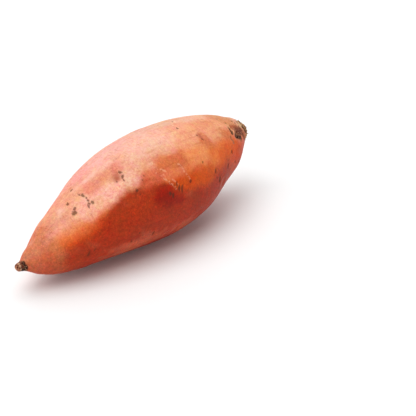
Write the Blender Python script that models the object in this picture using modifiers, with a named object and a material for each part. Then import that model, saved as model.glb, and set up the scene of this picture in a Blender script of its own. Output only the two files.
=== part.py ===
"""A whole sweet potato, lying on its belly. Metres, +Z up, long axis along X with the tail at -X.

The root is one solid. A coarse cage of rings gives its length, girth and bow, a Subdivision Surface rounds
the cage, broad swells and hollows are pushed into the rounded skin, and a small flat spot is cut under the belly.
"""

import math

import bmesh
import bpy
from mathutils import Vector

# Driving dimensions, in metres.
LENGTH = 0.185  # tail tip to stem end
MAX_RADIUS = 0.031  # of the root where it is fattest
FLAT_DEPTH = 0.0010  # how much of the belly the flat spot takes off

SIDES = 12  # cage points in each ring
ROUNDING = 2  # levels of subdivision
SHARP_ANGLE = math.radians(50)  # a steeper fold, such as the flat spot's rim, is shaded as an edge
CUT_DISTANCE = 1e-6  # a point this close to the flat spot's plane counts as on it

# The cage from the tail tip to the stem end: how far along the length, the radius as a share of MAX_RADIUS,
# and the centre line's drift to the side (Y) and up (Z), in metres. The first and last are the two tips.
STATIONS = (
    (0.000, 0.000, 0.0002, -0.0146),
    (0.003, 0.090, 0.0002, -0.0146),
    (0.020, 0.095, 0.0002, -0.0148),
    (0.036, 0.135, 0.0000, -0.0148),
    (0.065, 0.315, -0.0004, -0.0143),
    (0.130, 0.515, -0.0010, -0.0130),
    (0.225, 0.705, -0.0004, -0.0088),
    (0.335, 0.905, 0.0008, -0.0032),
    (0.455, 1.000, 0.0004, -0.0002),
    (0.575, 1.005, 0.0000, 0.0011),
    (0.690, 0.935, 0.0006, 0.0023),
    (0.790, 0.765, 0.0022, 0.0043),
    (0.875, 0.562, 0.0029, 0.0057),
    (0.940, 0.345, 0.0036, 0.0070),
    (0.980, 0.195, 0.0039, 0.0076),
    (0.997, 0.150, 0.0039, 0.0076),
    (1.000, 0.000, 0.0039, 0.0076),
)

# Broad swells (out) and hollows (in) of the skin: how far along the length, the angle round the root in
# degrees from +Y over the top, the reach along and round the skin, and the height, in metres.
SWELLS = (
    (0.40, 100, 0.052, 0.011, 0.0012),
    (0.40, 121, 0.020, 0.009, -0.0012),
    (0.52, 139, 0.036, 0.009, 0.0012),
    (0.60, 170, 0.040, 0.014, -0.0010),
    (0.30, 185, 0.040, 0.014, 0.0008),
    (0.70, 40, 0.030, 0.014, 0.0008),
    (0.38, 5, 0.030, 0.014, -0.0014),
    (0.60, 330, 0.036, 0.016, 0.0010),
    (0.76, 290, 0.024, 0.014, -0.0012),
    (0.22, 268, 0.040, 0.030, -0.0024),
    (0.62, 268, 0.034, 0.024, 0.0024),
)


def clear_scene():
    for obj in list(bpy.data.objects):
        bpy.data.objects.remove(obj, do_unlink=True)


def cage_mesh():
    """A sphere whose poles become the root's two tips, with each of its rings moved to its station."""
    bm = bmesh.new()
    steps = len(STATIONS) - 1
    bmesh.ops.create_uvsphere(bm, u_segments=SIDES, v_segments=steps, radius=1.0)
    # A ring smoothed by subdivision lies inside its cage by this share, so the cage is made larger by it.
    pull_in = (2 + math.cos(2 * math.pi / SIDES)) / 3
    for vert in bm.verts:
        down = math.acos(max(-1.0, min(1.0, -vert.co.z)))
        share, radius, side, lift = STATIONS[round(down / math.pi * steps)]
        angle = math.atan2(vert.co.y, vert.co.x)
        reach = radius * MAX_RADIUS / pull_in
        vert.co.x = (share - 0.5) * LENGTH
        vert.co.y = side + reach * math.cos(angle)
        vert.co.z = lift + reach * math.sin(angle)
    bmesh.ops.recalc_face_normals(bm, faces=bm.faces)
    mesh = bpy.data.meshes.new("root_cage")
    bm.to_mesh(mesh)
    bm.free()
    return mesh


def rounded(mesh):
    """The cage's mesh after the Subdivision Surface, as a mesh of its own."""
    cage = bpy.data.objects.new("root_cage", mesh)
    bpy.context.scene.collection.objects.link(cage)
    subdivision = cage.modifiers.new("round", "SUBSURF")
    subdivision.levels = subdivision.render_levels = ROUNDING
    graph = bpy.context.evaluated_depsgraph_get()
    smooth = bpy.data.meshes.new_from_object(cage.evaluated_get(graph))
    bpy.data.objects.remove(cage, do_unlink=True)
    return smooth


def centre_at(share):
    """The centre line's drift to the side and up, this far along the length."""
    for near, far in zip(STATIONS, STATIONS[1:]):
        if share <= far[0]:
            break
    blend = min(1.0, max(0.0, (share - near[0]) / (far[0] - near[0])))
    return near[2] + (far[2] - near[2]) * blend, near[3] + (far[3] - near[3]) * blend


def swell_at(place, out):
    """How far the skin stands out here by all the swells: place is along X, out is from the centre line."""
    angle = math.atan2(out.z, out.y)
    height = 0.0
    for share, degrees, reach_along, reach_round, peak in SWELLS:
        along = place - (share - 0.5) * LENGTH
        turn = (angle - math.radians(degrees) + math.pi) % (2 * math.pi) - math.pi
        spread = (along / reach_along) ** 2 + (turn * out.length / reach_round) ** 2
        height += peak * math.exp(-spread)
    return height


def push_swells(bm):
    """Moves the skin along its normals by the swells and hollows that reach it."""
    bm.normal_update()
    moves = []
    for vert in bm.verts:
        side, lift = centre_at(vert.co.x / LENGTH + 0.5)
        out = Vector((0.0, vert.co.y - side, vert.co.z - lift))
        moves.append((vert, vert.normal * swell_at(vert.co.x, out)))
    for vert, move in moves:
        vert.co += move


def cut_flat_spot(bm):
    """Cuts the belly level and sets the root down, so that the cut lies at z = 0 under the origin."""
    lowest = min(vert.co.z for vert in bm.verts)
    level = Vector((0.0, 0.0, lowest + FLAT_DEPTH))
    geometry = bm.verts[:] + bm.edges[:] + bm.faces[:]
    bmesh.ops.bisect_plane(
        bm, geom=geometry, dist=CUT_DISTANCE, plane_co=level, plane_no=(0, 0, -1), clear_outer=True
    )
    rim = [edge for edge in bm.edges if edge.is_boundary]
    bmesh.ops.contextual_create(bm, geom=rim)
    xs = [vert.co.x for vert in bm.verts]
    ys = [vert.co.y for vert in bm.verts]
    middle = Vector((min(xs) + max(xs), min(ys) + max(ys), 2 * level.z)) / 2
    bmesh.ops.translate(bm, verts=bm.verts, vec=-middle)


def skin_material():
    """Thin smooth root skin, salmon orange with a satin surface."""
    material = bpy.data.materials.new("sweet_potato_skin")
    material.use_nodes = True
    shader = material.node_tree.nodes["Principled BSDF"]
    shader.inputs["Base Color"].default_value = (0.66, 0.24, 0.13, 1.0)
    shader.inputs["Roughness"].default_value = 0.5
    shader.inputs["Metallic"].default_value = 0.0
    return material


def sweet_potato(collection):
    """The whole root as one closed solid."""
    mesh = rounded(cage_mesh())
    bm = bmesh.new()
    bm.from_mesh(mesh)
    push_swells(bm)
    cut_flat_spot(bm)
    bm.to_mesh(mesh)
    bm.free()
    mesh.name = "sweet_potato"
    mesh.materials.append(skin_material())
    mesh.shade_smooth()
    mesh.set_sharp_from_angle(angle=SHARP_ANGLE)
    collection.objects.link(bpy.data.objects.new("sweet_potato", mesh))


clear_scene()
parts = bpy.data.collections.new("sweet_potato")
bpy.context.scene.collection.children.link(parts)
sweet_potato(parts)
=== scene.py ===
import math
import random

import bmesh
import bpy
import numpy as np
from mathutils import Matrix, Vector, noise


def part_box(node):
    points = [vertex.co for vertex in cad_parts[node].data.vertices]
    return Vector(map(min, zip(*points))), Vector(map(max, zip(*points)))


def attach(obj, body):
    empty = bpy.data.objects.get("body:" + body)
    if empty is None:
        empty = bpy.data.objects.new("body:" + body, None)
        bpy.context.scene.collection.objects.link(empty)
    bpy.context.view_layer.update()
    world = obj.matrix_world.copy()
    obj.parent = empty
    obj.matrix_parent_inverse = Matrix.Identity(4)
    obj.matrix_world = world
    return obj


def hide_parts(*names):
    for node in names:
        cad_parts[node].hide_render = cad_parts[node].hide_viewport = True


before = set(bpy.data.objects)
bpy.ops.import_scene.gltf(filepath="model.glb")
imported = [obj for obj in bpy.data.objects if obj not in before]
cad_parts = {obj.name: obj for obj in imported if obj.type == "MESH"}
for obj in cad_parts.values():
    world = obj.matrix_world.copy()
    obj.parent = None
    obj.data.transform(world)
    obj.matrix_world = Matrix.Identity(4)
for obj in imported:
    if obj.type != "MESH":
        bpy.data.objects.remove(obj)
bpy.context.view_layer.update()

# --------------------------------------------------------------------------------------------------
# The root. One swollen storage root, grown whole: flesh under a thin skin that is taut over broad
# swells, puckered where side roots left it, and cracked across by corky breathing marks. It was torn
# from its vine at one end, and at the other it narrows to the nub of a thin root.
MM = 0.001
low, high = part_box("sweet_potato")
length = high.x - low.x
skin_grain = 0.63 * MM  # spacing of the skin's mesh points


def evaluated_mesh(name, mesh, *modifiers):
    """The mesh after a stack of modifiers, each given as (type, {setting: value})."""
    carrier = bpy.data.objects.new(name, mesh)
    bpy.context.scene.collection.objects.link(carrier)
    for kind, settings in modifiers:
        modifier = carrier.modifiers.new(kind.lower(), kind)
        for setting, value in settings.items():
            setattr(modifier, setting, value)
    graph = bpy.context.evaluated_depsgraph_get()
    made = bpy.data.meshes.new_from_object(carrier.evaluated_get(graph))
    bpy.data.objects.remove(carrier)
    return made


bm = bmesh.new()
bm.from_mesh(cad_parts["sweet_potato"].data)
bmesh.ops.remove_doubles(bm, verts=bm.verts, dist=1e-6)
bmesh.ops.join_triangles(
    bm,
    faces=bm.faces,
    angle_face_threshold=math.radians(30),
    angle_shape_threshold=math.radians(40),
)
cage = bpy.data.meshes.new("root_cage")
bm.to_mesh(cage)
bm.free()
body = evaluated_mesh(
    "root_body",
    cage,
    ("SUBSURF", {"levels": 2, "render_levels": 2}),
    ("REMESH", {"mode": "VOXEL", "voxel_size": skin_grain}),
    ("SMOOTH", {"factor": 0.5, "iterations": 8}),
)

points = np.zeros(len(body.vertices) * 3)
body.vertices.foreach_get("co", points)
points = points.reshape(-1, 3)
outward = np.zeros(len(body.vertices) * 3)
body.vertex_normals.foreach_get("vector", outward)
outward = outward.reshape(-1, 3)

# Every mark on the skin is placed by how far along the root it is, from 0 at the tail to 1 at the
# stem end, and by its turn round the root in degrees, from +Y over the top. The centre line runs
# through the middles of slices across the root.
slice_count = 33
slice_reach = 4 * MM  # to each side of its place
end_margin = 2 * MM
slices = np.linspace(low.x + end_margin, high.x - end_margin, slice_count)
middles = []
for place in slices:
    ring = points[np.abs(points[:, 0] - place) < slice_reach]
    middles.append((ring[:, 1:].min(0) + ring[:, 1:].max(0)) / 2)
middles = np.array(middles)
side = points[:, 1] - np.interp(points[:, 0], slices, middles[:, 0])
lift = points[:, 2] - np.interp(points[:, 0], slices, middles[:, 1])
share = (points[:, 0] - low.x) / length
turn = np.degrees(np.arctan2(lift, side)) % 360
radius = np.hypot(side, lift)
mm_points = [Vector(point) for point in points / MM]


def cloud(size, seed, along=1.0):
    """Smooth noise over the skin from -1 to 1: blotches of this size in mm, drawn out along X by a
    factor. Each seed gives a pattern of its own."""
    shift = Vector((17.3 * seed, 5.1 * seed, 9.7 * seed))
    drawn = size * along
    return np.array(
        [noise.noise(Vector((p.x / drawn, p.y / size, p.z / size)) + shift) for p in mm_points]
    )


def step(value, start, end):
    """A smooth rise from 0 at start to 1 at end, which may be the lower of the two."""
    rise = np.clip((value - start) / (end - start), 0.0, 1.0)
    return rise * rise * (3.0 - 2.0 * rise)


# Two ways for an outline to wander, along and round the root, in mm: frayed finely, or swaying
# widely.
fray = (0.7 * cloud(1.7, 11) + 0.5 * cloud(3.4, 12), 0.7 * cloud(1.7, 13) + 0.5 * cloud(3.4, 14))
sway = (2.2 * cloud(11, 15) + 1.0 * cloud(4, 16), 2.2 * cloud(11, 17) + 1.0 * cloud(4, 18))


def offsets(place, edge=None, amount=1.0):
    """How far each point of the skin is from a place (share, turn), in mm: along the root, and round
    it. A pair of clouds as the edge makes the outline of what is drawn there wander by that amount."""
    along = (share - place[0]) * length / MM
    round_it = np.radians((turn - place[1] + 180) % 360 - 180) * radius / MM
    if edge:
        along = along + amount * edge[0]
        round_it = round_it + amount * edge[1]
    return along, round_it


def spot(place, reach_along, reach_round, tilt=0.0, edge=None, amount=1.0):
    """A soft patch on the skin, 1 in its middle. The reaches are in mm, and the tilt in degrees."""
    along, round_it = offsets(place, edge, amount)
    lean = math.radians(tilt)
    lengthwise = along * math.cos(lean) + round_it * math.sin(lean)
    across = round_it * math.cos(lean) - along * math.sin(lean)
    near = np.hypot(along, round_it) < 4 * max(reach_along, reach_round)
    return near * np.exp(-((lengthwise / reach_along) ** 2) - (across / reach_round) ** 2)


def stroke(start, end, width, edge=None, amount=1.0):
    """A soft line on the skin between two places, 1 along its middle. The width is in mm. Nothing of
    it lies 110 degrees or more round from its middle, so it never shows on the far side."""
    along, round_it = offsets(start, edge, amount)
    back_along, back_round = offsets(end, edge, amount)
    run, rise = along - back_along, round_it - back_round
    reach = np.clip((along * run + round_it * rise) / (run**2 + rise**2 + 1e-9), 0.0, 1.0)
    near = np.abs((turn - (start[1] + end[1]) / 2 + 180) % 360 - 180) < 110
    off_line = (along - reach * run) ** 2 + (round_it - reach * rise) ** 2
    return near * np.exp(-(off_line / width**2))


def linear(hex_colour):
    """An sRGB hex colour as the linear values that a shader takes."""
    parts = [int(hex_colour[at : at + 2], 16) / 255 for at in (1, 3, 5)]
    return (*(c / 12.92 if c <= 0.04045 else ((c + 0.055) / 1.055) ** 2.4 for c in parts), 1.0)


def pigment(hex_colour):
    """An sRGB hex colour as three linear values, to mix on the skin's points."""
    return np.array(linear(hex_colour)[:3])


def brushed(coat, cover, paint):
    """A coat of colour with a paint laid on it, as much as the cover says at each point, 0 to 1."""
    return coat + cover[:, None] * (paint - coat)


# Colour of the skin, with painted light and shade: pale salmon over the top as painted light, through
# coral and orange, to deep red below as painted shade. Each row gives how high on the root's side a
# point is, from -1 to 1, and its colour.
upright = np.sin(np.radians(turn))
light_and_shade_by_height = (
    (-1.0, "#9E3C20"),
    (-0.35, "#A83C1C"),
    (0.05, "#BE4014"),
    (0.28, "#DA5418"),
    (0.50, "#E6733E"),
    (0.68, "#E78A60"),
    (0.84, "#E9A080"),
    (1.0, "#E8A68C"),
)
heights = [row[0] for row in light_and_shade_by_height]
pigments = np.array([pigment(row[1]) for row in light_and_shade_by_height])
drifted = upright + 0.11 * cloud(26, 21, 1.4) + 0.08 * cloud(9, 22, 1.3) + 0.04 * cloud(4, 23)
tint = np.stack([np.interp(drifted, heights, channel) for channel in pigments.T], 1)

# Painted shade: the belly is deep red, and pinker in places, and on the near side the red comes
# higher up the flank. Its edge is given in degrees from the top, and how soft it is in mm. On the near
# side both change along the root.
down = np.abs((turn - 90 + 180) % 360 - 180)
near_side = (turn > 90) & (turn < 270)  # towards -Y, where the camera is
edge_at = (0.05, 0.20, 0.30, 0.38, 0.50, 0.62, 0.75, 0.90)
near_edge = np.interp(share, edge_at, (88, 68, 51, 50, 67, 87, 95, 108))
far_edge = 100 + 16 * cloud(30, 27, 2.0)
near_soft = np.interp(share, edge_at, (9, 7, 2.6, 2.2, 3.5, 6, 8, 9))
far_soft = 13
past_edge = np.radians(down - np.where(near_side, near_edge, far_edge)) * radius / MM
edge_soft = np.where(near_side, near_soft, far_soft)
belly_shade = step(past_edge + sway[1] + fray[0], -edge_soft, edge_soft)
pinker = cloud(15, 28, 1.8) + 0.4 * cloud(5, 29) - 0.5 * spot((0.42, 160), 22, 14)
belly_shade_pink = step(pinker, 0.0, 0.7) * np.where(near_side, step(share, 0.72, 0.50), 1.0)
belly_shade_red = brushed(pigment("#A62E0A"), belly_shade_pink, pigment("#BC5436"))
tint = brushed(tint, 0.9 * belly_shade, belly_shade_red)

# Patches of other colours, each a stroke from one place to another, with its width in mm, its
# colour, its cover and how soft its edge is. Some are painted highlight and some painted shade, as
# marked.
patches = (
    ((0.60, 85), (0.95, 88), 22, "#E4A07C", 0.5, 0.45),
    ((0.60, 115), (0.84, 112), 12, "#F2A274", 0.7, 0.45),
    ((0.30, 66), (0.48, 76), 11, "#E6A094", 0.8, 0.45),
    ((0.54, 70), (0.62, 78), 8, "#DEA78E", 0.6, 0.45),
    ((0.14, 72), (0.24, 78), 9, "#DE9270", 0.7, 0.45),
    ((0.27, 103), (0.36, 108), 5, "#E1896C", 0.9, 0.45),
    ((0.33, 118), (0.36, 119), 5, "#E08C6C", 0.7, 0.45),
    ((0.44, 104), (0.56, 106), 9, "#F0B69C", 0.6, 0.45),
    ((0.72, 103), (0.78, 106), 5, "#E68E60", 0.7, 0.45),
    ((0.70, 86), (0.78, 90), 5, "#E8AC8E", 0.7, 0.45),
    # Painted highlight: the pale crest of the ridge on the near side.
    ((0.22, 128), (0.38, 127), 6.0, "#EFAE96", 0.9, 0.4),
    ((0.40, 122), (0.47, 126), 4.0, "#E79A7E", 0.7, 0.45),
    ((0.40, 140), (0.45, 144), 4.0, "#CC5A3A", 0.8, 0.45),
    ((0.42, 134), (0.47, 137), 4.5, "#DA6C4C", 0.8, 0.45),
    ((0.49, 131), (0.56, 136), 5.5, "#D66C3E", 0.9, 0.45),
    ((0.48, 145), (0.54, 151), 3.5, "#E67C50", 0.8, 0.45),
    # Painted shade: deep red low on the near side, about mid-length.
    ((0.44, 164), (0.50, 172), 5.5, "#961600", 0.9, 0.45),
    ((0.60, 141), (0.69, 147), 7, "#F3945A", 1.0, 0.42),
    ((0.68, 130), (0.70, 137), 4.0, "#E27E4C", 0.9, 0.45),
    ((0.70, 150), (0.80, 150), 6, "#EC7430", 0.9, 0.45),
    ((0.52, 161), (0.66, 163), 6, "#D24E00", 0.9, 0.45),
    ((0.74, 160), (0.84, 162), 6, "#E25A04", 0.9, 0.45),
    # Painted shade: dark red low down the near side, towards the stem end.
    ((0.60, 188), (0.76, 186), 9, "#9A2A04", 0.6, 0.45),
    ((0.83, 176), (0.95, 178), 7, "#D04A12", 0.9, 0.45),
    ((0.82, 200), (0.92, 205), 9, "#B83A0C", 0.8, 0.45),
    ((0.695, 122), (0.704, 140), 3.4, "#D46C3E", 0.5, 0.45),
    ((0.28, 66), (0.36, 80), 5.0, "#EC9C92", 0.7, 0.45),
    ((0.80, 131), (0.84, 137), 4, "#D8733C", 0.8, 0.45),
    ((0.84, 88), (0.89, 96), 7, "#D28A50", 0.8, 0.45),
    ((0.86, 108), (0.89, 116), 5, "#DC8A54", 0.8, 0.45),
    ((0.30, 330), (0.50, 345), 14, "#C2583C", 0.5, 0.45),
    ((0.60, 20), (0.75, 30), 12, "#E8925A", 0.6, 0.45),
    ((0.20, 20), (0.32, 30), 12, "#DE8470", 0.6, 0.45),
    ((0.76, 320), (0.84, 345), 9, "#CC6434", 0.6, 0.45),
)
for start, end, width, paint, strength, soft in patches:
    cover = strength * step(stroke(start, end, width, sway), 0.5 - soft, 0.5 + soft)
    tint = brushed(tint, cover, pigment(paint))
tail_brown = (0.9 - 0.5 * belly_shade) * step(share + 0.05 * cloud(9, 26), 0.17, 0.06)
tint = brushed(tint, tail_brown, pigment("#C66E48"))

# The form under the colour: broad swells, folds gathered at both ends, and low ridges and hollows,
# each a stroke with its width and its rise in mm.
height = 0.35 * cloud(30, 1, 1.6) + 0.16 * cloud(12, 2, 1.4) + 0.05 * cloud(4, 3)  # mm
folds = step(share, 0.20, 0.04) + 0.8 * step(share, 0.80, 0.95)
height += folds * (0.16 * cloud(3.0, 4, 6.0) + 0.10 * cloud(1.7, 5, 5.0))
for start, end, width, rise in (
    ((0.17, 86), (0.24, 88), 3.5, 0.35),
    ((0.24, 88), (0.33, 95), 3.0, 0.45),
    ((0.28, 139), (0.33, 133), 3.2, 0.5),
    ((0.33, 133), (0.41, 126), 3.4, 0.5),
    ((0.27, 112), (0.36, 110), 4.5, -0.35),
    ((0.33, 152), (0.46, 152), 7.0, -0.6),
    ((0.074, 35), (0.074, 60), 2.6, -1.0),
    ((0.040, 45), (0.040, 75), 2.4, 0.9),
    ((0.80, 82), (0.86, 88), 6.0, 0.4),
    ((0.972, 135), (0.972, 150), 2.5, -0.6),
    ((0.935, 80), (0.945, 95), 2.5, 0.6),
    ((0.87, 188), (0.88, 215), 9.0, 1.1),
    ((0.74, 200), (0.78, 215), 9.0, -0.5),
    ((0.972, 110), (0.972, 125), 3.0, -1.2),
    ((0.086, 28), (0.086, 58), 2.2, -0.6),
    ((0.135, 40), (0.135, 65), 3.2, 0.45),
    ((0.974, 90), (0.974, 106), 1.8, 0.8),
    ((0.985, 128), (0.985, 148), 2.2, -0.5),
):
    height += rise * stroke(start, end, width)

# Eyes: dimples where a side root or a bud left, with a puckered rim, each (share, turn, reach,
# depth), the last two in mm. Four have their own places, and the rest stand in rows, as they grow.
full_colour_depth = 0.6
random.seed(7)
scar, hollow, painted_highlight, scuff_and_highlight = (np.zeros(len(points)) for _ in range(4))
eyes = [
    (0.342, 118.5, 2.7, 0.80),
    (0.685, 121.5, 2.1, 0.42),
    (0.56, 62, 2.0, 0.40),
    (0.30, 35, 2.2, 0.45),
]
for row_turn in (10, 205, 255, 320):
    for number in range(3):
        at_share = 0.24 + 0.22 * number + random.uniform(-0.06, 0.06)
        at_turn = row_turn + random.uniform(-14, 14)
        eyes.append((at_share, at_turn, random.uniform(1.5, 2.4), random.uniform(0.25, 0.6)))
for at_share, at_turn, reach, depth in eyes:
    along, round_it = offsets((at_share, at_turn), fray, 0.6)
    away = np.hypot(along, round_it * 1.15) / reach
    dimple = np.exp(-(away**2))
    height += depth * (0.45 * np.exp(-(((away - 1.75) / 0.55) ** 2)) - dimple)
    hollow = np.maximum(hollow, dimple * min(1.0, depth / full_colour_depth))

# Corky marks: short cracks across the root, each (share, turn, reach along, reach round, tilt,
# strength), with the reaches in mm. More are scattered at random, fainter from the top down the
# near side.
stray_marks = 46
marks = [
    (0.2330, 98.0, 0.45, 1.5, -4, 0.85),
    (0.2365, 103.5, 0.85, 1.5, 4, 1.1),
    (0.2385, 110.5, 0.60, 1.0, 10, 0.95),
    (0.2375, 115.5, 0.75, 1.1, -12, 1.0),
    (0.2340, 120.0, 0.65, 1.1, 5, 0.95),
    (0.2430, 122.5, 0.90, 1.2, 0, 1.1),
    (0.2295, 124.5, 0.60, 1.1, 8, 0.95),
    (0.197, 109.5, 0.9, 1.2, 25, 1.0),
    (0.190, 115.5, 1.3, 1.5, -20, 1.1),
    (0.196, 92.0, 0.8, 0.8, 30, 1.0),
    (0.236, 77.0, 0.8, 0.9, 0, 1.0),
    (0.251, 75.0, 0.4, 0.4, 0, 0.3),
    (0.359, 114.5, 0.7, 1.5, -30, 0.95),
    (0.356, 121.0, 0.7, 1.6, 25, 0.95),
    (0.352, 126.0, 0.6, 1.2, 10, 0.85),
    (0.334, 121.5, 0.8, 0.7, 0, 0.8),
    (0.411, 134.0, 0.7, 0.9, 30, 0.8),
    (0.400, 137.0, 0.6, 0.7, 0, 0.7),
    (0.370, 144.0, 0.9, 0.9, 0, 1.1),
    (0.376, 150.0, 0.6, 0.6, 0, 0.8),
    (0.634, 101.0, 0.8, 1.1, 0, 0.95),
    (0.661, 84.0, 0.6, 1.0, 20, 0.8),
    (0.687, 70.0, 0.6, 0.6, 0, 0.7),
    (0.681, 126.0, 0.7, 1.1, -20, 1.1),
    (0.674, 119.5, 0.7, 0.8, 0, 0.9),
    (0.473, 165.0, 1.0, 1.6, 20, 1.0),
    (0.484, 168.0, 0.8, 2.0, 10, 1.1),
    (0.505, 158.0, 0.6, 1.8, 14, 1.0),
    (0.511, 164.0, 0.7, 2.0, 12, 1.05),
    (0.522, 166.0, 0.7, 2.3, 12, 1.2),
    (0.562, 162.0, 0.9, 1.0, 0, 1.2),
    (0.633, 149.0, 0.7, 1.0, 0, 0.7),
    (0.688, 167.0, 0.7, 1.4, 20, 1.3),
    (0.709, 182.0, 1.3, 2.2, 10, 1.1),
    (0.690, 176.0, 0.7, 0.7, 0, 0.6),
    (0.770, 177.0, 1.2, 1.4, 0, 0.95),
    (0.808, 163.0, 0.9, 1.0, 0, 1.3),
    (0.822, 184.0, 0.7, 0.8, 0, 0.95),
    (0.905, 111.0, 0.8, 0.8, 0, 0.9),
    (0.914, 118.0, 0.8, 0.9, 0, 1.0),
    (0.855, 115.0, 0.9, 0.9, 0, 0.7),
]
for _ in range(stray_marks):
    turns = (random.uniform(185, 400), random.uniform(185, 400), random.uniform(60, 180))
    at_turn = random.choice(turns)
    reach_round = random.choice((0.6, 0.7, 0.9, 1.3, 2.1))
    faint = 0.35 if at_turn < 185 else 0.95
    reach_along, tilt = random.uniform(0.5, 0.8), random.uniform(-20, 20)
    marks.append((random.uniform(0.10, 0.90), at_turn, reach_along, reach_round, tilt, faint))
for at_share, at_turn, reach_along, reach_round, tilt, strength in marks:
    place = (at_share, at_turn)
    core = spot(place, reach_along, reach_round, tilt, fray, 0.5)
    lips = spot(place, reach_along + 0.9, reach_round + 0.9, tilt)
    height += strength * (0.12 * lips - 0.30 * core)
    scar = np.maximum(scar, strength * core)

# Scuffs: pale scratches where a spade or another root rubbed the skin, mostly across the root, and
# pale painted highlight along the near-side ridge crest and round the first eye, each a stroke with
# its width in mm and its strength.
for start, end, width, strength in (
    ((0.534, 140), (0.545, 149), 0.45, 0.62),
    ((0.546, 150), (0.562, 159), 0.42, 0.5),
    ((0.449, 137), (0.462, 144), 0.35, 0.5),
    ((0.464, 146), (0.490, 156), 0.35, 0.55),
    ((0.488, 148), (0.508, 159), 0.32, 0.5),
    ((0.463, 139), (0.474, 145), 0.35, 0.5),
    ((0.674, 83), (0.660, 89), 0.55, 0.9),
    ((0.650, 88), (0.634, 94), 0.55, 0.9),
    ((0.455, 132), (0.480, 141), 0.40, 0.55),
    ((0.478, 152), (0.500, 163), 0.40, 0.6),
    # Painted highlight: pale strokes along the crest of the near-side ridge.
    ((0.288, 137), (0.325, 133), 1.3, 0.45),
    ((0.325, 133), (0.365, 130), 1.5, 0.5),
    ((0.345, 126), (0.400, 124), 1.3, 0.45),
    ((0.395, 130), (0.415, 126), 1.0, 0.4),
    ((0.454, 127), (0.456, 127.5), 0.8, 1.0),
    # Painted highlight: pale specks round the rim of the first eye.
    ((0.345, 122), (0.350, 124.5), 0.50, 0.7),
    ((0.343, 127), (0.350, 130), 0.50, 0.75),
    ((0.358, 123), (0.362, 127), 0.45, 0.7),
    ((0.334, 127), (0.340, 130), 0.45, 0.65),
    ((0.60, 330), (0.62, 342), 0.40, 0.5),
    ((0.42, 15), (0.44, 26), 0.40, 0.5),
    ((0.70, 240), (0.73, 254), 0.40, 0.5),
):
    scuff_and_highlight = np.maximum(scuff_and_highlight, strength * stroke(start, end, width, fray, 0.45))
height -= 0.06 * scuff_and_highlight

# Painted highlight: pale strokes on the ridges and towards the top, of the same kind as above,
# broken up by a cloud.
for start, end, width, strength in (
    ((0.156, 88), (0.168, 85), 2.2, 0.9),
    ((0.235, 87), (0.30, 91), 1.8, 0.9),
    ((0.30, 91), (0.36, 96), 2.2, 0.7),
    ((0.34, 80), (0.55, 92), 7.0, 0.4),
    ((0.44, 110), (0.54, 108), 6.0, 0.4),
):
    painted_highlight = np.maximum(painted_highlight, strength * stroke(start, end, width, sway, 0.7))
painted_highlight *= 0.55 + 0.45 * step(cloud(3.5, 43, 1.5), -0.35, 0.35)

# The stem end is a torn corky scar, which runs down one shoulder. First comes where the cork lies:
# over the tip and the shoulder, and in strokes with their width in mm and their strength.
reach_down = 0.020 * cloud(7, 33) + 0.012 * cloud(2.5, 34)
stem_cork = step(share + reach_down, 0.940, 0.962)
shoulder = 0.55 * step(share + 2 * reach_down, 0.895, 0.945) * step(cloud(3.0, 42), -0.25, 0.35)
stem_cork = np.maximum(stem_cork, shoulder)
for start, end, width, strength in (
    ((0.851, 127), (0.850, 138), 1.3, 0.95),
    ((0.870, 127), (0.905, 130), 3.0, 0.75),
    ((0.888, 139), (0.918, 142), 3.6, 1.0),
    ((0.868, 146), (0.893, 154), 2.2, 1.0),
    ((0.920, 150), (0.935, 164), 2.6, 0.9),
    ((0.940, 116), (0.945, 128), 2.4, 0.9),
    ((0.885, 161), (0.890, 164), 0.7, 0.7),
    ((0.829, 143), (0.838, 153), 1.6, 0.62),
):
    stem_cork = np.maximum(stem_cork, strength * stroke(start, end, width, fray, 0.9))

# The cork's colours: brown crumbs, straw and brown strands at the very end, and then strokes with
# their width in mm, their colour and their cover, darkest where the skin folds in. A strand keeps
# its turn round the root, so the strands draw together at the tip.
crumbs = step(cloud(2.4, 44), -0.3, 0.3)
cork_tint = brushed(pigment("#A2623E"), crumbs, pigment("#84482E"))
bearing = np.radians(turn)
lanes = zip(5 * np.cos(bearing), 5 * np.sin(bearing), 22 * share)
strands = np.array([noise.noise(Vector(at)) for at in lanes])
end_fibre = step(share + 0.015 * cloud(2.2, 35), 0.935, 0.965)
for low_end, high_end, paint in ((0.02, 0.28, "#CBA074"), (-0.05, -0.30, "#6E3E28")):
    cover = end_fibre * step(strands + 0.9 * cloud(1.8, 36), low_end, high_end) * 0.85
    cork_tint = brushed(cork_tint, cover, pigment(paint))
for start, end, width, paint, strength in (
    ((0.870, 126), (0.905, 128), 2.6, "#B85C3C", 0.9),
    ((0.851, 127), (0.850, 138), 1.3, "#4A2718", 0.95),
    ((0.893, 138), (0.920, 143), 2.8, "#70332A", 0.95),
    ((0.866, 144), (0.874, 151), 1.2, "#34170F", 0.95),
    ((0.874, 151), (0.893, 155), 1.2, "#2E130E", 0.95),
    ((0.893, 155), (0.904, 151), 0.9, "#3C1C12", 0.85),
    ((0.829, 143), (0.838, 153), 2.0, "#A8603F", 0.9),
    ((0.948, 115), (0.940, 129), 1.7, "#E0BE90", 1.0),
    ((0.952, 132), (0.962, 154), 1.4, "#DDB98A", 1.0),
    ((0.925, 154), (0.935, 165), 1.9, "#8E4426", 0.9),
    ((0.942, 160), (0.950, 172), 1.2, "#C08A55", 0.8),
    # Painted shade: a dark brown line along the very tip, at the outer edge of the straw.
    ((0.984, 118), (0.982, 146), 1.3, "#6A4228", 0.9),
):
    cover = strength * stroke(start, end, width, fray, 1.2)
    cork_tint = brushed(cork_tint, cover, pigment(paint))

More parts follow.
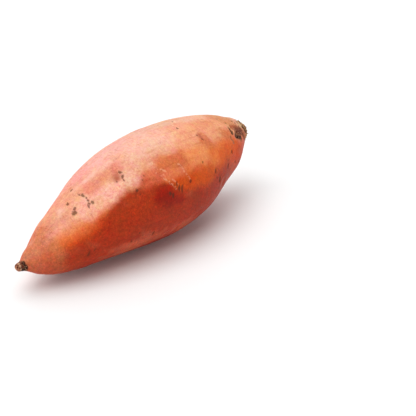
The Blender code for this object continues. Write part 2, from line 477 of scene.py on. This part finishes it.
# The tail ends in a corky knob, the nub of the thin root, with a dark collar where it meets the skin.
tail_cork = step(share + 0.008 * cloud(2.5, 37), 0.031, 0.023)
collar = step(share + 0.006 * cloud(1.5, 38), 0.005, 0.011) * step(turn, 60, 120)
collar = collar * step(turn, 330, 220)
knob_tint = pigment("#B0745A")
for cover, paint in (
    (collar, "#2E130E"),
    (0.8 * step(cloud(2.0, 41), -0.1, 0.3), "#6A3020"),
    (0.8 * step(cloud(1.4, 39), 0.15, 0.45) * (share < 0.010), "#5A2C20"),
    (0.8 * step(cloud(1.3, 40), 0.20, 0.45) * (share < 0.011), "#DBB090"),
):
    knob_tint = brushed(knob_tint, cover, pigment(paint))
cork_tint = brushed(cork_tint, tail_cork, knob_tint)

# Cork is rough, crumbs and strands alike, and sinks in where it is darkest.
cork = np.maximum(stem_cork, tail_cork)
height += stem_cork * (0.30 * cloud(1.5, 31) + 0.30 * cloud(3.0, 32) - 0.15)
height += end_fibre * (0.5 * strands + 0.4 * cloud(1.6, 36, 2.0))
height += tail_cork * (0.16 * cloud(1.5, 31) + 0.12 * cloud(3.0, 32))
height -= 0.5 * spot((0.872, 148), 2.2, 2.0)

# The skin moves out or in by that height, and rests on the table. Its fields go to its material.
moved = points + outward * height[:, None] * MM
moved[:, 2] = np.maximum(moved[:, 2], 0.0)
body.vertices.foreach_set("co", moved.ravel())
fields = {"scar": scar, "hollow": hollow, "scuff_and_highlight": scuff_and_highlight, "painted_highlight": painted_highlight, "cork": cork}
for name, values in fields.items():
    body.attributes.new(name, "FLOAT", "POINT").data.foreach_set("value", values.astype(np.float32))
for name, values in {"tint": tint, "cork_tint": cork_tint}.items():
    rgba = np.column_stack([values, np.ones(len(points))]).astype(np.float32)
    body.attributes.new(name, "FLOAT_COLOR", "POINT").data.foreach_set("color", rgba.ravel())
body.shade_smooth()
body.update()
skin = bpy.data.objects.new("skin", body)
bpy.context.scene.collection.objects.link(skin)
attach(skin, "root")
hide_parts("sweet_potato")

# The sockets of a Mix node have the same names for numbers and for colours, so they go by number.
MIX_FACTOR, NUMBER_A, NUMBER_B, COLOUR_A, COLOUR_B, MIXED_COLOUR = 0, 2, 3, 6, 7, 2


def add_node(tree, kind, inputs=(), output=0, **settings):
    """Adds a node with its settings, joins its inputs to values or to other nodes' outputs, and gives
    its own output."""
    made = tree.nodes.new("ShaderNode" + kind)
    for setting, value in settings.items():
        setattr(made, setting, value)
    for socket, value in dict(inputs).items():
        if isinstance(value, bpy.types.NodeSocket):
            tree.links.new(value, made.inputs[socket])
        else:
            made.inputs[socket].default_value = value
    return made.outputs[output]


# Sweet potato skin: a corky layer a tenth of a millimetre thin, grown, washed and rubbed. It has a
# waxy satin gloss, dulled by fine cross wrinkles, pores and brown corky marks, and a little light gets
# into it. The tints are the mesh's own, and the material adds what is finer, each cloud with its size
# in mm. The real pores are about 0.2 mm, too fine to show, so the grain is drawn at 0.7 mm.
skin_material = bpy.data.materials.new("sweet_potato_skin")
skin_material.use_nodes = True
tree = skin_material.node_tree
shader = tree.nodes["Principled BSDF"]
place = add_node(tree, "TexCoord", output="Object")
in_mm = add_node(tree, "VectorMath", {0: place, "Scale": 1 / MM}, operation="SCALE")
across = add_node(tree, "VectorMath", {0: in_mm, 1: (1.0, 0.16, 0.16)}, operation="MULTIPLY")
lengthwise = add_node(tree, "VectorMath", {0: in_mm, 1: (0.12, 1.0, 1.0)}, operation="MULTIPLY")
painted = {name: add_node(tree, "Attribute", attribute_name=name, output="Fac") for name in fields}
tinted = add_node(tree, "Attribute", attribute_name="tint", output="Color")
corky = add_node(tree, "Attribute", attribute_name="cork_tint", output="Color")
clouds = {}
for name, vector, size, roughness in (
    ("blotches", in_mm, 11.0, 0.6),
    ("mottle", in_mm, 3.4, 0.6),
    ("flecks", in_mm, 1.5, 0.6),
    ("grain", in_mm, 0.7, 0.6),
    ("wrinkles", across, 1.1, 0.65),
    ("creases", lengthwise, 2.4, 0.6),
):
    inputs = {"Vector": vector, "Scale": 1 / size, "Detail": 3.0, "Roughness": roughness}
    clouds[name] = add_node(tree, "TexNoise", inputs)
hues = {name: clouds[name].node.outputs["Color"] for name in ("blotches", "mottle", "flecks")}
masks = {}
for name, source, start, end, most in (
    ("deep_mottle", clouds["mottle"], 0.54, 0.80, 0.40),
    ("pale_fleck", clouds["flecks"], 0.60, 0.80, 0.30),
    ("deep_wrinkle", clouds["wrinkles"], 0.56, 0.80, 0.55),
    ("rubbed_and_lit", clouds["flecks"], 0.44, 0.60, 1.0),
    ("crumbled", clouds["grain"], 0.3, 0.7, 0.5),
    ("streaked", clouds["creases"], 0.52, 0.78, 0.45),
    ("pale_crumb", clouds["grain"], 0.54, 0.66, 0.60),
    ("dark_crumb", clouds["flecks"], 0.47, 0.36, 0.75),
):
    inputs = {"Value": source, "From Min": start, "From Max": end, "To Max": most}
    masks[name] = add_node(tree, "MapRange", inputs, interpolation_type="SMOOTHSTEP")
amounts = {}
for name, first, second, operation in (
    ("painted_highlight", painted["painted_highlight"], 0.55, "MULTIPLY"),
    ("scuff_and_highlight", painted["scuff_and_highlight"], masks["rubbed_and_lit"], "MULTIPLY"),
    ("hollow", painted["hollow"], 0.85, "MULTIPLY"),
    ("scar", painted["scar"], masks["crumbled"], "ADD"),
    ("cork", painted["cork"], masks["crumbled"], "ADD"),
    ("pale_crumb", painted["cork"], masks["pale_crumb"], "MULTIPLY"),
    ("dark_crumb", painted["cork"], masks["dark_crumb"], "MULTIPLY"),
):
    amounts[name] = add_node(tree, "Math", {0: first, 1: second}, operation=operation)
for name, start, end, most in (("scar", 0.55, 0.90, 0.95), ("cork", 0.60, 0.90, 1.0)):
    inputs = {"Value": amounts[name], "From Min": start, "From Max": end, "To Max": most}
    amounts[name] = add_node(tree, "MapRange", inputs, interpolation_type="SMOOTHSTEP")
amounts["dust"] = add_node(tree, "Math", {0: amounts["scar"], 1: 0.25}, operation="MULTIPLY")
colour = tinted
# The coats, from the bottom up: each (paint, how much, how it blends).
for paint, amount, blend in (
    (hues["blotches"], 0.24, "OVERLAY"),
    (hues["mottle"], 0.24, "OVERLAY"),
    (hues["flecks"], 0.18, "OVERLAY"),
    (clouds["flecks"], 0.42, "OVERLAY"),
    (clouds["grain"], 0.52, "OVERLAY"),
    ("#E8A088", masks["deep_mottle"], "MULTIPLY"),
    ("#F7CDB8", masks["pale_fleck"], "SOFT_LIGHT"),
    # Painted highlight on the ridges and towards the top.
    ("#F7CDBD", amounts["painted_highlight"], "MIX"),
    ("#C98060", masks["deep_wrinkle"], "MULTIPLY"),
    ("#DCA486", masks["streaked"], "MULTIPLY"),
    # Pale scuffs, and painted highlight on the near-side ridge crest and round the first eye.
    ("#F2CBA4", amounts["scuff_and_highlight"], "MIX"),
    ("#AC4E34", amounts["hollow"], "MIX"),
    ("#9E9389", amounts["scar"], "MULTIPLY"),
    ("#7E5A42", amounts["dust"], "MIX"),
    (corky, amounts["cork"], "MIX"),
    (clouds["grain"], amounts["cork"], "OVERLAY"),
    ("#7C5444", amounts["dark_crumb"], "MULTIPLY"),
    ("#D9B083", amounts["pale_crumb"], "MIX"),
):
    paint = linear(paint) if isinstance(paint, str) else paint
    inputs = {MIX_FACTOR: amount, COLOUR_A: colour, COLOUR_B: paint}
    settings = {"data_type": "RGBA", "blend_type": blend}
    colour = add_node(tree, "Mix", inputs, output=MIXED_COLOUR, **settings)
tree.links.new(colour, shader.inputs["Base Color"])

# Roughness: satin on the skin, and nearly matt on cork.
inputs = {"Value": clouds["mottle"], "From Min": 0.3, "From Max": 0.7}
satin = add_node(tree, "MapRange", inputs | {"To Min": 0.40, "To Max": 0.54})
dull = add_node(tree, "Math", {0: amounts["scar"], 1: amounts["cork"]}, operation="MAXIMUM")
inputs = {MIX_FACTOR: dull, NUMBER_A: satin, NUMBER_B: 0.85}
rough = add_node(tree, "Mix", inputs, data_type="FLOAT")
tree.links.new(rough, shader.inputs["Roughness"])

# Relief too fine for the mesh: each (cloud, strength, depth in mm).
relief = None
for name, strength, depth in (
    ("grain", 0.25, 0.12),
    ("wrinkles", 0.35, 0.25),
    ("creases", 0.3, 0.3),
):
    inputs = {"Height": clouds[name], "Strength": strength, "Distance": depth * MM}
    if relief:
        inputs["Normal"] = relief
    relief = add_node(tree, "Bump", inputs)
tree.links.new(relief, shader.inputs["Normal"])

# The wax is thin and rubbed, so the skin shines less than its IOR gives.
for socket, value in {
    "Specular IOR Level": 0.12,
    "Subsurface Weight": 0.06,
    "Subsurface Radius": (1.0, 0.35, 0.2),
    "Subsurface Scale": 2.0 * MM,
}.items():
    shader.inputs[socket].default_value = value

body.materials.clear()
body.materials.append(skin_material)

# --------------------------------------------------------------------------------------------------
# The stem fibres. Where the root was torn from its vine, dry strands of the stem's core stand out of
# the corky scar. They are stiff, straw coloured to brown, and lie mostly along the root.
random.seed(19)
fibre_count = 54
torn_from = 0.957  # share of the root's length
torn = np.flatnonzero(share > torn_from)
bm = bmesh.new()
for _ in range(fibre_count):
    at = random.choice(torn)
    lean = Vector(outward[at]) * 0.55
    lean += Vector((random.uniform(0.3, 0.9), random.uniform(-0.4, 0.4), random.uniform(-0.4, 0.4)))
    reach, thick = random.uniform(0.6, 1.25) * MM, random.uniform(0.28, 0.50) * MM
    stands = Matrix.Translation(Vector(moved[at]) + lean.normalized() * reach * 0.12)
    stands = stands @ lean.to_track_quat("Z", "Y").to_matrix().to_4x4()
    bmesh.ops.create_cone(
        bm,
        cap_ends=True,
        segments=7,
        radius1=thick,
        radius2=thick * 0.45,
        depth=reach,
        matrix=stands,
    )
strand_mesh = bpy.data.meshes.new("stem_fibres")
bm.to_mesh(strand_mesh)
bm.free()
strand_mesh.shade_smooth()
stem_fibres = bpy.data.objects.new("stem_fibres", strand_mesh)
bpy.context.scene.collection.objects.link(stem_fibres)
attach(stem_fibres, "root")

# Dried stem fibre: bundles of dead woody cells, torn, not cut. It is matt, pale straw where it split
# and brown where it weathered, in patches about 1.4 mm across.
fibre_material = bpy.data.materials.new("dried_stem_fibre")
fibre_material.use_nodes = True
tree = fibre_material.node_tree
place = add_node(tree, "TexCoord", output="Object")
weathering = add_node(tree, "TexNoise", {"Vector": place, "Scale": 1 / (1.4 * MM), "Detail": 3.0})
inputs = {"Value": weathering, "From Min": 0.38, "From Max": 0.62}
weathered = add_node(tree, "MapRange", inputs, interpolation_type="SMOOTHSTEP")
inputs = {MIX_FACTOR: weathered, COLOUR_A: linear("#D2AC7C"), COLOUR_B: linear("#7A4C30")}
straw = add_node(tree, "Mix", inputs, output=MIXED_COLOUR, data_type="RGBA")
shader = tree.nodes["Principled BSDF"]
tree.links.new(straw, shader.inputs["Base Color"])
shader.inputs["Roughness"].default_value = 0.85
shader.inputs["Specular IOR Level"].default_value = 0.2
strand_mesh.materials.append(fibre_material)

# --------------------------------------------------------------------------------------------------
# The table top. A plain sheet of matt white paper, which shows only the root's soft shadow. It is
# round and flat, and wide enough to fill every view.
floor_radius = 5.0
bm = bmesh.new()
bmesh.ops.create_circle(bm, cap_ends=True, segments=96, radius=floor_radius)
floor_mesh = bpy.data.meshes.new("floor")
bm.to_mesh(floor_mesh)
bm.free()
floor = bpy.data.objects.new("floor", floor_mesh)
bpy.context.scene.collection.objects.link(floor)
paper = bpy.data.materials.new("white_paper")
paper.use_nodes = True
paper.node_tree.nodes["Principled BSDF"].inputs["Base Color"].default_value = linear("#F7F7F7")
paper.node_tree.nodes["Principled BSDF"].inputs["Roughness"].default_value = 0.9
floor_mesh.materials.append(paper)

# --------------------------------------------------------------------------------------------------
# Light. Three wide softboxes, overhead, behind and from the front left, in a room with pale walls.
# Behind and left are as the camera looks, and view_turn and view_drop say where that is.
view_turn, view_drop = math.radians(46.5), math.radians(27.0)
softbox_angle = math.radians(60)
ahead = Vector((math.sin(view_turn), math.cos(view_turn), 0.0))
right = Vector((math.cos(view_turn), -math.sin(view_turn), 0.0))
up = Vector((0.0, 0.0, 1.0))
for name, direction, energy in (
    ("overhead_softbox", up, 0.93),
    ("back_softbox", up * 0.77 + ahead * 0.64, 0.98),
    ("front_softbox", up * 0.77 - ahead * 0.42 - right * 0.48, 1.47),
):
    softbox = bpy.data.objects.new(name, bpy.data.lights.new(name, "SUN"))
    softbox.data.energy = energy
    softbox.data.angle = softbox_angle
    softbox.rotation_euler = direction.to_track_quat("Z", "Y").to_euler()
    bpy.context.scene.collection.objects.link(softbox)

# The walls are white up to a low height, so every view has a plain pale background, and the ceiling is
# dim, so that the softboxes give the light its direction.
world = bpy.data.worlds.new("pale_room")
bpy.context.scene.world = world
world.use_nodes = True
room = world.node_tree
background = room.nodes["Background"]
background.inputs["Color"].default_value = linear("#FFFFFF")
towards = add_node(room, "TexCoord", output="Generated")
how_high = add_node(room, "SeparateXYZ", {0: towards}, output="Z")
inputs = {"Value": how_high, "From Min": 0.20, "From Max": 0.45, "To Min": 1.0, "To Max": 0.2}
room.links.new(add_node(room, "MapRange", inputs), background.inputs["Strength"])

# --------------------------------------------------------------------------------------------------
# Camera. A long lens looks down at the root from its tail end. It aims to one side of it, so that the
# root stands left of the middle.
sight = ahead * math.cos(view_drop) - up * math.sin(view_drop)
aim = Vector((0.0228, -0.0315, 0.0208))
distance = 0.6656
camera_data = bpy.data.cameras.new("camera")
camera_data.lens = 100.0
camera = bpy.data.objects.new("camera", camera_data)
camera.location = aim - sight * distance
camera.rotation_euler = sight.to_track_quat("-Z", "Y").to_euler()
bpy.context.scene.collection.objects.link(camera)
bpy.context.scene.camera = camera
bpy.context.scene.view_settings.view_transform = "Standard"
